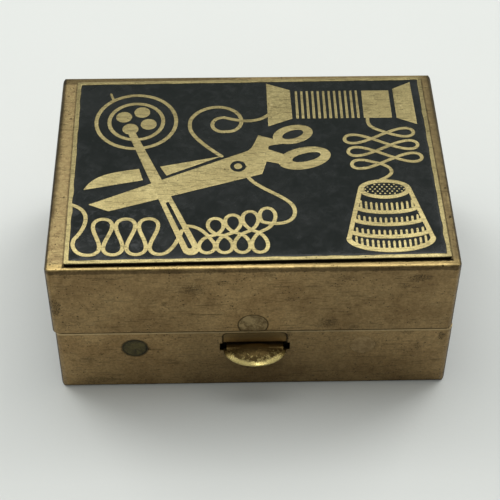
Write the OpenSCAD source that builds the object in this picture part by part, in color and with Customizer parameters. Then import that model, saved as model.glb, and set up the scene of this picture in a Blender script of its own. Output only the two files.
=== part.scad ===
// Pocket sewing box: a small hinged brass case with a black-enamelled design plate on its lid.
// Origin: under the middle of the lid, in the plane that the box stands on. Millimetres.
// X runs across the front, +Y to the hinge, +Z up.

/* [Case] */
// Width of the lid, left to right
case_w = 57.5; // [56:0.5:70]
// Depth of the case, front to back
case_d = 40.9; // [40.4:0.1:52]
// Height of the lid's walls
lid_h = 13.25; // [10:0.25:18]
// Height of the base's walls
base_h = 12.2; // [11.8:0.1:18]
// Thickness of the brass sheet
sheet = 0.8; // [0.6:0.05:1.0]
// How much narrower the base is than the lid
base_inset = 0.2; // [0:0.05:0.6]
// How far the base sits to the right of the lid
base_shift = 0.2; // [-0.3:0.05:0.3]
// Gap between the closed lid and base
seam_gap = 0.15; // [0.1:0.01:0.3]
// Radius of the upright corners, seen from above
corner_r = 1; // [0.9:0.1:2]
// Radius of the left and right top and bottom edges
side_edge_r = 0.7; // [0.3:0.05:1.2]
// Radius of the front and back top edges
front_edge_r = 0.45; // [0.2:0.05:1]
// Radius of the front and back bottom edges
foot_edge_r = 0.5; // [0.3:0.05:1]

/* [Design plate] */
// Width of the plate on the lid
plate_w = 53.3; // [53:0.1:54]
// Depth of the plate on the lid
plate_d = 38.4; // [38.2:0.1:39]
// Thickness of the plate
plate_t = 0.6; // [0.5:0.05:0.8]
// Depth of the enamelled field and height of the brass lines
relief_h = 0.3; // [0.2:0.05:0.35]
// Width of the bright border round the field
border_w = 0.65; // [0.5:0.05:0.8]
// How far the plate sits right of the lid's centre
plate_x = 0.5; // [-0.5:0.05:0.5]
// How far the plate sits behind the lid's centre
plate_y = -0.3; // [-0.5:0.05:0.5]
// How far the plate is turned anticlockwise on the lid, in degrees
plate_turn = 0.5; // [-1:0.1:1]
// Width of the thread lines
thread_w = 0.58; // [0.5:0.02:0.7]
// How far the enamel lies below the brass lines
enamel_drop = 0.04; // [0.02:0.01:0.1]

/* [Hinge] */
// Radius of the hinge barrel
barrel_r = 1.1; // [1:0.05:1.3]
// Length of the hinge barrel
hinge_w = 44; // [30:1:46]
// Radius of the hinge pin
pin_r = 0.5; // [0.4:0.05:0.6]
// Thickness of the hinge leaves
leaf_t = 0.5; // [0.4:0.05:0.6]
// Slope of the bevels that stop the lid, in degrees
stop_bevel = 53.5; // [45:0.5:60]

/* [Thumb catch] */
// Width of the half-moon lip
lip_w = 9.2; // [8.4:0.1:9.5]
// How far the lip stands out of the front
lip_out = 3.2; // [2:0.1:4]
// Height that the lip falls from its back to its rim
lip_fall = 1.1; // [0.8:0.05:1.1]
// Thickness of the lip
lip_t = 0.55; // [0.4:0.05:0.6]
// Travel of the catch when it is pressed
catch_travel = 1; // [0.6:0.1:1]
// Width of the slot in the front
slot_w = 10.2; // [9.8:0.1:11]
// How far the slot and the lip sit right of the centre
catch_x = 0.3; // [-0.4:0.1:0.4]
// Height of the slot in the front
slot_h = 1.6; // [1.6:0.05:2]
// Height of the slot's centre above the table
slot_z = 8.8; // [8.6:0.05:9]
// Distance of the left spring rivet from the centre
left_rivet_x = -17.1; // [-18:0.1:-15]
// Distance of the right spring rivet from the centre
right_rivet_x = 16; // [15:0.1:18]

/* [Hidden] */

$fn = 48;
eps = 0.01;
brass = [0.62, 0.52, 0.31];
bright_brass = [0.80, 0.69, 0.42];
enamel_black = [0.10, 0.11, 0.11];
dark_iron = [0.22, 0.24, 0.22];

lid_z = base_h + seam_gap;         // underside of the lid's walls
top_z = lid_z + lid_h;             // top of the lid, under the plate
base_w = case_w - base_inset;
front_y = -case_d/2;               // outer face of the front
front_in_y = front_y + sheet;      // inner face of the front
back_y = case_d/2;
back_in_y = back_y - sheet;

axis_y = back_y - barrel_r;        // hinge axis: the barrel is flush with the back
axis_z = base_h + seam_gap/2;
barrel_gap = 0.15;                 // space round the barrel and between knuckles
pin_clearance = 0.05;              // radial, in the knuckles that turn
fixed_clearance = 0.02;            // radial, round rivets and the fixed end of the pin
knuckles = 5;                      // the base has the odd ones
knuckle_w = hinge_w/knuckles;
leaf_h = 5;
hinge_rivet_r = 0.8;
hinge_rivet_head_r = 1.3;
hinge_rivet_head_h = 0.45;
hinge_rivet_pitch = 15;
base_rivet_z = axis_z - 3.9;
lid_rivet_z = axis_z + 3.9;

recess_depth = 0.18;               // pressed thumb recess above the slot
recess_w = 9.3;
recess_top = base_h - 0.4;
spring_t = 0.4;
spring_h = 3;
spring_rivet_r = 1.85;
spring_shank_r = 1;
stem_w = 8.2;
stem_h = 0.9;
tenon_w = 3;
stud_r = 2.05;
stud_z = lid_z + 1.3;
tongue_w = 5;
tongue_t = 0.6;
foot_z = base_h - 1.7;             // underside of the tongue's foot
foot_h = 0.6;
foot_out = 0.55*catch_travel;     // the catch travels further than the foot reaches
tongue_gap = 0.15;                 // between the tongue and the base's front
hook_w = 4.4;
hook_t = 0.55;
hook_gap = 0.1;                    // between the hook's nose and the tongue

field_w = plate_w - 2*border_w;
field_d = plate_d - 2*border_w;
motif_drop = 0.3;

// ---------------------------------------------------------------- shared shapes

module rounded_plan(w, d, r) {
  square([w - 2*r, d], center = true);
  square([w, d - 2*r], center = true);
  for (x = [-1, 1], y = [-1, 1])
    translate([x*(w/2 - r), y*(d/2 - r)]) circle(r);
}

// Upright rectangle standing on z = 0 whose two top corners are round.
module arched_profile(w, h, r) {
  translate([-w/2, 0]) square([w, h - r]);
  translate([-w/2 + r, 0]) square([w - 2*r, h]);
  for (x = [-1, 1]) translate([x*(w/2 - r), h - r]) circle(r);
}

// Block with round upright corners and round top edges, those at front and back with radius r.
module case_block(w, d, h, r) {
  intersection() {
    linear_extrude(h) rounded_plan(w, d, corner_r);
    rotate([90, 0, 0]) linear_extrude(d + 2, center = true) arched_profile(w, h, side_edge_r);
    rotate([90, 0, 90]) linear_extrude(w + 2, center = true) arched_profile(d, h, r);
  }
}

module open_case(w, d, h, r) {
  difference() {
    case_block(w, d, h, r);
    translate([0, 0, -1])
      linear_extrude(h + 1 - sheet) rounded_plan(w - 2*sheet, d - 2*sheet, corner_r - sheet + 0.2);
  }
}

// Cylinder along X with its axis on the hinge line.
module hinge_rod(r, length, x = 0) {
  translate([x - length/2, axis_y, axis_z]) rotate([0, 90, 0]) cylinder(r = r, h = length);
}

// Cylinder along Y from y0 to y1.
module y_rod(r, y0, y1, x, z) {
  translate([x, y1, z]) rotate([90, 0, 0]) cylinder(r = r, h = y1 - y0);
}

// Wedge behind the hinge line that leaves room for the other half: side is 1 up, -1 down.
module stop_wedge(side) {
  reach = 2*barrel_r;
  rise = reach*tan(stop_bevel);
  translate([0, axis_y, axis_z]) rotate([90, 0, 90])
    linear_extrude(case_w + 2, center = true)
      polygon([[0, 0], [reach, side*rise], [reach, -side*1], [0, -side*1]]);
}

// ---------------------------------------------------------------- hinge

function knuckle_x(i) = -hinge_w/2 + (i + 0.5)*knuckle_w;

// A leaf on one side of the hinge line with its rolled knuckles: side is 1 for the lid.
module hinge_leaf(first, side, bore) {
  leaf_start = barrel_r + barrel_gap;
  leaf_z = side > 0 ? axis_z + leaf_start : axis_z - leaf_start - leaf_h;
  web_z = side > 0 ? axis_z : leaf_z + leaf_h/2;
  difference() {
    union() {
      translate([-hinge_w/2, back_in_y - leaf_t, leaf_z]) cube([hinge_w, leaf_t, leaf_h]);
      for (i = [first:2:knuckles - 1]) {
        width = knuckle_w - barrel_gap;
        hinge_rod(barrel_r, width, knuckle_x(i));
        translate([knuckle_x(i) - width/2, back_in_y - leaf_t, web_z])
          cube([width, leaf_t, leaf_start + leaf_h/2]);
      }
    }
    hinge_rod(bore, hinge_w + 2);
    for (x = [-1:1])
      y_rod(hinge_rivet_r + fixed_clearance, back_in_y - 2, back_y + 1, x*hinge_rivet_pitch,
            side > 0 ? lid_rivet_z : base_rivet_z);
  }
}

module hinge_rivet_holes(z) {
  for (x = [-1:1])
    y_rod(hinge_rivet_r + fixed_clearance, back_in_y - 1, back_y + 1, x*hinge_rivet_pitch, z);
}

module hinge_rivets(z) {
  for (x = [-1:1]) {
    y_rod(hinge_rivet_r, back_in_y - leaf_t, back_y, x*hinge_rivet_pitch, z);
    y_rod(hinge_rivet_head_r, back_in_y - leaf_t - hinge_rivet_head_h, back_in_y - leaf_t,
          x*hinge_rivet_pitch, z);
  }
}

module lid_hinge_leaf() {
  color(brass) hinge_leaf(1, 1, pin_r + pin_clearance);
}

module base_hinge_leaf() {
  color(brass) hinge_leaf(0, -1, pin_r + fixed_clearance);
}

module lid_hinge_rivets() {
  color(brass) hinge_rivets(lid_rivet_z);
}

module base_hinge_rivets() {
  color(brass) hinge_rivets(base_rivet_z);
}

module hinge_pin() {
  color(brass) hinge_rod(pin_r, hinge_w);
}

// ---------------------------------------------------------------- shells

module lid_shell() {
  color(brass) difference() {
    translate([0, 0, lid_z]) open_case(case_w, case_d, lid_h, front_edge_r);
    stop_wedge(1);
    hinge_rod(barrel_r + barrel_gap, hinge_w + 2*barrel_gap);
    hinge_rivet_holes(lid_rivet_z);
    y_rod(stud_r + fixed_clearance, front_y - 1, front_in_y + 1, 0, stud_z);
  }
}

module base_shell() {
  color(brass) difference() {
    translate([base_shift, 0, base_h]) mirror([0, 0, 1]) open_case(base_w, case_d, base_h, foot_edge_r);
    stop_wedge(-1);
    hinge_rod(barrel_r + barrel_gap, hinge_w + 2*barrel_gap);
    hinge_rivet_holes(base_rivet_z);
    translate([catch_x - slot_w/2, front_y - 1, slot_z - slot_h/2]) cube([slot_w, sheet + 2, slot_h]);
    for (x = [left_rivet_x, right_rivet_x])
      y_rod(spring_rivet_r + fixed_clearance, front_y - 1, front_in_y + 1, x, slot_z);
    thumb_recess();
  }
}

// Shallow pressed recess between the slot and the seam, with round top corners.
module thumb_recess() {
  low = slot_z + slot_h/2 - 0.2;
  r = 0.9;
  translate([catch_x, front_y + recess_depth, 0]) rotate([90, 0, 0]) linear_extrude(1) {
    translate([-recess_w/2, low]) square([recess_w, recess_top - r - low]);
    translate([-recess_w/2 + r, low]) square([recess_w - 2*r, recess_top - low]);
    for (x = [-1, 1]) translate([x*(recess_w/2 - r), recess_top - r]) circle(r);
  }
}

// ---------------------------------------------------------------- catch

// Profile in the Y-Z plane, carried across the width.
module across(width) {
  rotate([90, 0, 90]) linear_extrude(width, center = true) children();
}

tongue_y = front_in_y + tongue_gap;       // front of the tongue below the seam
nose_y = tongue_y + tongue_t + hook_gap;  // tip of the hook's nose
arm_y = nose_y + foot_out + 0.1;          // front of the hook's upright arm
nose_z = foot_z + foot_h + 0.08;          // underside of the nose
nose_h = 0.7;

// Strip behind the lid's front that reaches down into the base and ends in a foot.
module catch_tongue() {
  shoulder_z = lid_z + 0.3;
  top = lid_z + 4;
  color(brass) difference() {
    across(tongue_w) {
      translate([front_in_y, shoulder_z]) square([tongue_t + tongue_gap, top - shoulder_z]);
      translate([tongue_y, foot_z]) square([tongue_t, top - foot_z]);
      polygon([[tongue_y, foot_z + 0.1], [tongue_y + tongue_t + foot_out, foot_z + 0.35],
               [tongue_y + tongue_t + foot_out, foot_z + foot_h], [tongue_y, foot_z + foot_h]]);
    }
    y_rod(spring_shank_r + fixed_clearance, front_y, front_y + 4, 0, stud_z + 0.9);
  }
}

// Flush disc in the lid's front whose shank holds the tongue. The lid's edge cuts it off below.
module tongue_stud() {
  color(brass) {
    difference() {
      y_rod(stud_r, front_y, front_in_y, 0, stud_z);
      translate([-5, front_y - 1, lid_z - 5]) cube([10, 3, 5]);
    }
    y_rod(spring_shank_r, front_in_y - eps, tongue_y + tongue_t + 0.25, 0, stud_z + 0.9);
  }
}

module leaf_spring() {
  length = right_rivet_x - left_rivet_x + 5;
  mid = (right_rivet_x + left_rivet_x)/2;
  color(bright_brass) difference() {
    translate([mid - length/2, front_in_y, slot_z - spring_h/2]) cube([length, spring_t, spring_h]);
    translate([catch_x - stem_w/2 - 0.1, front_in_y - 1, slot_z - stem_h/2 - 0.1])
      cube([stem_w + 0.2, 2, stem_h + 0.2]);
    for (x = [left_rivet_x, right_rivet_x])
      y_rod(spring_shank_r + fixed_clearance, front_y, front_in_y + 1, x, slot_z);
  }
}

// Flush rivet: a wide disc in the front, a shank through the spring and a head inside.
module spring_rivet(x) {
  y_rod(spring_rivet_r, front_y, front_in_y, x, slot_z);
  y_rod(spring_shank_r, front_in_y - eps, front_in_y + spring_t + eps, x, slot_z);
  y_rod(1.5, front_in_y + spring_t, front_in_y + spring_t + 0.45, x, slot_z);
}

module left_spring_rivet() {
  color(dark_iron) spring_rivet(left_rivet_x);
}

module right_spring_rivet() {
  color(brass) spring_rivet(right_rivet_x);
}

// Domed half-moon lip, hollow below, whose flat stem runs through the slot and the spring.
module thumb_lip() {
  half = lip_w/2;
  rim_h = 0.22;
  lip_top = slot_z + slot_h/2 - 0.12;
  dome_r = (half*half + lip_fall*lip_fall)/(2*lip_fall);
  dome_z = lip_top - dome_r;
  rim_z = lip_top - lip_fall - rim_h;
  stem_l = sheet + spring_t + 0.5;
  color(bright_brass) {
    intersection() {
      translate([catch_x, front_y, 0]) scale([1, lip_out/half, 1]) difference() {
        intersection() {
          translate([0, 0, dome_z]) sphere(dome_r, $fn = 96);
          translate([0, 0, rim_z]) cylinder(r = half, h = 5, $fn = 96);
        }
        translate([0, 0, dome_z]) sphere(dome_r - lip_t, $fn = 96);
      }
      translate([catch_x - half - 1, front_y - lip_out - 1, rim_z - 1])
        cube([lip_w + 2, lip_out + 1, 5]);
    }
    translate([catch_x - stem_w/2, front_y - 0.5, slot_z - stem_h/2]) cube([stem_w, stem_l, stem_h]);
    translate([-tenon_w/2, front_in_y, slot_z - stem_h/2])
      cube([tenon_w, spring_t + hook_t + 0.1, stem_h]);
  }
}

// Bent strip behind the spring whose nose hangs over the tongue's foot.
module catch_hook() {
  back = front_in_y + spring_t;
  shelf_z = slot_z + spring_h/2 - 0.6;
  low = slot_z - spring_h/2 + 0.2;
  color(brass) difference() {
    across(hook_w) {
      translate([back, low]) square([hook_t, shelf_z + hook_t - low]);
      translate([back, shelf_z]) square([arm_y + hook_t - back, hook_t]);
      translate([arm_y, shelf_z]) square([hook_t, nose_z + nose_h - shelf_z]);
      polygon([[nose_y, nose_z], [arm_y + hook_t, nose_z], [arm_y + hook_t, nose_z + nose_h],
               [arm_y, nose_z + nose_h], [nose_y, nose_z + 0.25]]);
    }
    translate([-tenon_w/2, back - 1, slot_z - stem_h/2]) cube([tenon_w, 3, stem_h]);
  }
}

// ---------------------------------------------------------------- design plate

function lerp(a, b, t) = a + (b - a)*t;
function arc_path(c, rx, ry, a0, a1, n) =
  [for (i = [0:n]) let (a = lerp(a0, a1, i/n)) c + [rx*cos(a), ry*sin(a)]];
function bezier(a, b, c, d, n = 10) =
  [for (i = [0:n]) let (t = i/n, u = 1 - t) u*u*u*a + 3*u*u*t*b + 3*u*t*t*c + t*t*t*d];
function side_step(path, i, width) =
  let (v = path[min(i + 1, len(path) - 1)] - path[max(i - 1, 0)]) [-v.y, v.x]*width/2/norm(v);

// Line of even width along a path, with round ends.
module stroke(path, width = thread_w) {
  for (i = [0:len(path) - 2]) {
    a = side_step(path, i, width);
    b = side_step(path, i + 1, width);
    polygon([path[i] + a, path[i + 1] + b, path[i + 1] - b, path[i] - a]);
  }
  for (p = [path[0], path[len(path) - 1]]) translate(p) circle(d = width, $fn = 12);
}

module ellipse(c, rx, ry, turn = 0, n = 40) {
  translate(c) rotate(turn) scale([1, ry/rx]) circle(rx, $fn = n);
}

module motif_button() {
  centre = [-17.45, 9.95];
  for (r = [4.05, 6]) translate(centre) difference() {
    circle(r + thread_w/2, $fn = 60);
    circle(r - thread_w/2, $fn = 60);
  }
  for (i = [0:3])
    translate(centre + [0, 0.2]) rotate(66 + 90*i) translate([2.05, 0]) circle(1.2, $fn = 24);
  stroke([[-21.5, 16.3], [-21, 14.8]], 0.4);
}

needle_tip = [-18.4, 8.3];
needle_end = [-9.1, -16.6];
function on_needle(t) = lerp(needle_tip, needle_end, t);

module tapered(a, b, wa, wb) {
  v = b - a;
  s = [-v.y, v.x]/norm(v)/2;
  polygon([a + s*wa, b + s*wb, b - s*wb, a - s*wa]);
}

module motif_needle() {
  difference() {
    union() {
      tapered(needle_tip, needle_end, 1.1, 2.4);
      translate(needle_end) circle(1.2, $fn = 24);
    }
    stroke([on_needle(0.64), on_needle(0.985)], 0.56);
  }
}

module motif_scissors() {
  pivot = [-2.3, -0.1];
  // Near blade with its shank
  difference() {
    polygon(concat(
      [[-23.7, -7.7], [-20.8, -9.1], [1.2, -1.8], [1.9, 0.8], [2.3, 4.2], [2.9, 5.8], [0.8, 6.6]],
      bezier([0.8, 6.6], [0.2, 4.9], [-0.2, 3.5], [-1, 3.1], 5)));
    translate(pivot) circle(1.15, $fn = 24);
  }
  translate(pivot) circle(0.6, $fn = 16);
  // Far blade, parted by the needle
  polygon(concat(
    bezier([-24.6, -4.7], [-23.4, -1.6], [-20.8, -1.1], [-16.7, -0.4], 8), [[-16.1, -2.8]]));
  polygon([[-13.7, 0], [-4.6, 2.1], [-12.7, -1.9]]);
  // Finger loops and their arms
  difference() {
    union() {
      ellipse([6, 6.7], 3.1, 2, 18);
      polygon([[1.9, 6], [4, 5.6], [5.6, 4.3], [2.1, 4.2]]);
    }
    ellipse([6, 6.7], 1.7, 0.85, 24, 28);
  }
  difference() {
    union() {
      ellipse([7.5, 1.5], 4, 2.3, 16);
      polygon([[1.8, 0.9], [2, 3.6], [4.6, 2.3], [4.6, 0.1]]);
    }
    ellipse([7.8, 1.7], 2.2, 0.85, 18, 28);
  }
}

module motif_spool() {
  turns = 12;
  low = 10.25;
  high = 16.6;
  polygon([[2.35, 18.5], [6, 16.85], [6.1, 10.25], [2.4, 8.55]]);
  for (i = [0:turns - 1]) translate([6.7 + 0.84*i, low]) square([0.42, high - low]);
  translate([16.95, low]) square([4.25, high - low]);
  polygon([[21.8, 16.95], [24.7, 18.55], [24.85, 8.7], [21.9, 10.2]]);
}

// Hank of thread: figures of eight that step down, three loops on each side.
hank_turns = 3;
hank_top = [18.7, 7.6];
function on_hank(a) = hank_top + [5.3*sin(a) + 0.35*a/360, -1.25*sin(2*a) - 2.75*a/360];

module motif_hank() {
  stroke([for (a = [0:15:360*hank_turns]) on_hank(a)], 0.52);
}

// Thread from the spool: a small curl that opens into a large one and ends at the blade.
module motif_curl() {
  centre = [-4.4, 9.05];
  curl = [for (a = [70:12:555]) let (r = 1.6 + 3.4*max(0, min(1, (a - 285)/240)))
    centre + r*[cos(a), sin(a)]];
  stroke(bezier([2.5, 11.2], [0.8, 9.4], [-1.4, 9.6], curl[0], 9));
  stroke(curl);
  stroke(bezier(curl[len(curl) - 1], [-9, 6.6], [-7.4, 4.6], [-4.7, 2.1], 8));
}

// Wavy line whose lobes bulge (bulge > 0) or close into loops (bulge < 0); its crests climb by rise,
// and its loops are rounder where fold is above 1.
function wave(start, pitch, bulge, height, rise, fold, a0, a1, step = 15) =
  [for (a = [a0:step:a1])
    start + [pitch*a/360 + bulge*sin(2*a),
             height*sign(cos(a))*pow(abs(cos(a)), fold) + rise*a/360*(1 + cos(a))/2]];

module motif_meander() {
  wave_path = wave([-24.7, -14.1], 3.22, 0.9, 3.45, 0, 1, 185, 1265);
  neck = [-25.2, -14.3];
  stroke(bezier([-26.2, -7.7], [-22.8, -9], [-23.9, -12.4], neck, 9));
  stroke(bezier(neck, [-25.9, -15.3], [-25.2, -17.9], wave_path[0], 8));
  stroke(wave_path);
  stroke(bezier(wave_path[len(wave_path) - 1], [-12.4, -17.6], [-11.2, -16.2], on_needle(0.86), 7));
}

module motif_braid() {
  loops = wave([-8.1, -14.4], 2.45, -1.4, 3, 0.65, 1.8, 120, 1500);
  last = loops[len(loops) - 1];
  stroke(bezier(on_needle(0.83) + [0.7, 0.2], [-7.8, -12.1], [-6.9, -13.9], loops[0], 8), 0.52);
  stroke(loops, 0.52);
  stroke(bezier(last, [1.8, -12], [5.6, -12.6], [5.6, -9.4], 8));
  stroke(bezier([5.6, -9.4], [5.6, -6.6], [0.4, -5.2], [-0.9, -2.3], 10));
}

module motif_thimble() {
  top = [18.7, -5.2];
  low = [18.75, -15];
  top_rx = 3.55;
  low_rx = 5.85;
  tick_h = [1.7, 1.15, 1.1, 1.4];
  tick_w = 0.36;
  difference() {
    ellipse(top, 3.85, 2);
    ellipse(top, 3, 1.3);
  }
  // Dimples in staggered rows
  for (row = [-2:2], i = [-4:4]) {
    x = 0.7*(i + 0.5*(row % 2));
    y = 0.46*row;
    if (pow(x/2.8, 2) + pow(y/1.15, 2) < 1) translate(top + [x, y]) circle(0.15, $fn = 6);
  }
  for (x = [-1, 1]) stroke([top + [x*top_rx, -0.1], low + [x*low_rx, 0]], 0.75);
  stroke(arc_path(low, low_rx, 2.3, 180, 360, 18), 0.8);
  for (band = [0:3]) {
    f = 0.355 + 0.245*band;
    centre = band == 3 ? low : lerp(top, low, f);
    rx = band == 3 ? low_rx - 0.1 : lerp(top_rx, low_rx, f);
    ry = band == 3 ? 2.1 : 1.25;
    if (band < 3) stroke(arc_path(centre, rx, ry, 184, 356, 14), 0.8);
    ticks = 12 + band;
    for (i = [1:ticks]) let (a = 192 + 156*i/(ticks + 1), x = rx*cos(a), y = ry*sin(a))
      translate(centre + [x - tick_w/2, y]) square([tick_w, tick_h[band] + 0.13]);
  }
}

module motif_links() {
  stroke(bezier([17.5, 10.4], [17.3, 8.9], [17.6, 8.3], on_hank(0), 7), 0.52);
  stroke(bezier(on_hank(360*hank_turns), [21.9, -1.3], [18.5, -1.7], [18.4, -3.3], 8), 0.52);
}

// The design stays square with the case, a little low in its field.
module motifs() {
  rotate(-plate_turn) translate([0, -motif_drop]) design();
}

module design() {
  motif_button();
  motif_needle();
  motif_scissors();
  motif_spool();
  motif_hank();
  motif_curl();
  motif_meander();
  motif_braid();
  motif_thimble();
  motif_links();
}

module field_shape() {
  square([field_w, field_d], center = true);
}

module brass_lines() {
  offset(delta = eps) {
    difference() {
      square([plate_w - 2*eps, plate_d - 2*eps], center = true);
      field_shape();
    }
    intersection() {
      square([field_w + eps, field_d + eps], center = true);
      motifs();
    }
  }
}

module design_plate() {
  color(bright_brass) translate([plate_x, plate_y, top_z]) rotate(plate_turn) {
    linear_extrude(plate_t - relief_h) square([plate_w, plate_d], center = true);
    translate([0, 0, plate_t - relief_h]) linear_extrude(relief_h) brass_lines();
  }
}

module enamel_field() {
  color(enamel_black) translate([plate_x, plate_y, top_z + plate_t - relief_h]) rotate(plate_turn)
    linear_extrude(relief_h - enamel_drop) offset(delta = -2*eps) difference() {
      field_shape();
      motifs();
    }
}

lid_shell();
design_plate();
enamel_field();
lid_hinge_leaf();
lid_hinge_rivets();
catch_tongue();
tongue_stud();
base_shell();
base_hinge_leaf();
base_hinge_rivets();
hinge_pin();
leaf_spring();
left_spring_rivet();
right_spring_rivet();
thumb_lip();
catch_hook();
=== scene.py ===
"""Looks of a small hinged brass sewing box with a black-enamelled design plate on its lid.

Lengths are in millimetres until a mesh is made, and metres from then on, in the CAD's own frame.
"""
import math

import bmesh
import bpy
from mathutils import Matrix, Vector, noise


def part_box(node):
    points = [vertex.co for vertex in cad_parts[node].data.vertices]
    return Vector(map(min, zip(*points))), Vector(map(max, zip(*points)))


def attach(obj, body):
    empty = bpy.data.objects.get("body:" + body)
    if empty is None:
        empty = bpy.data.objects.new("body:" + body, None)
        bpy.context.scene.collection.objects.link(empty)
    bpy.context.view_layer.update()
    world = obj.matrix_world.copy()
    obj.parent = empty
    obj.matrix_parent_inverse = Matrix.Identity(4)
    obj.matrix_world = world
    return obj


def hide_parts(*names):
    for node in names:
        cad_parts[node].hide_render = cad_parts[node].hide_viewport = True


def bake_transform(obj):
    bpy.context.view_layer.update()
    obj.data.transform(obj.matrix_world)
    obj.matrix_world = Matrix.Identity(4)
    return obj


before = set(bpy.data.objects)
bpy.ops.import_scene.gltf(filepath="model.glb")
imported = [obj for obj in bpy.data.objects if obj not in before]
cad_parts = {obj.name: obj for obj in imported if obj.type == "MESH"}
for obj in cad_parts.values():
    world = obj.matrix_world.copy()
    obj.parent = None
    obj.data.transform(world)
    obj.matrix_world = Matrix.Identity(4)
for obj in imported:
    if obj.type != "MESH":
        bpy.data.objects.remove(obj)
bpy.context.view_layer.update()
MM = 0.001


def box_mm(node):
    low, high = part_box(node)
    return low / MM, high / MM


plate_low, plate_high = box_mm("design_plate")
field_low, field_high = box_mm("enamel_field")
lid_low, lid_high = box_mm("lid_shell")
base_low, base_high = box_mm("base_shell")
lip_low, lip_high = box_mm("thumb_lip")
PLATE_CENTRE = ((plate_low + plate_high) / 2).to_2d()
PLATE_SIZE = Vector((53.3, 38.4))
PLATE_TURN = 0.5
BORDER = 0.65
DESIGN_DROP = 0.3
PLATE_TOP = plate_high.z
ENAMEL_TOP = field_high.z
FIELD_FLOOR = field_low.z
SEAM = (lid_low.z + base_high.z) / 2
CATCH_X = (lip_low.x + lip_high.x) / 2
SLOT_Z = 8.8
STUD_Z = lid_low.z + 1.3
LEFT_RIVET_X = -17.1
RIGHT_RIVET_X = 16.0
SPRING_RIVET_R = 1.9
STUD_R = 2.1
RECESS_HALF_W = 4.65
RECESS_TOP = base_high.z - 0.4
RECESS_CORNER_R = 0.7
SLOT_HALF_W = 5.3
SLOT_HALF_H = 0.86
# Painted shade: black for the slot and for what shows through it
SLOT_SHADE_BLACK = (0.012, 0.009, 0.006)


# ---------------- materials

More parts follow.
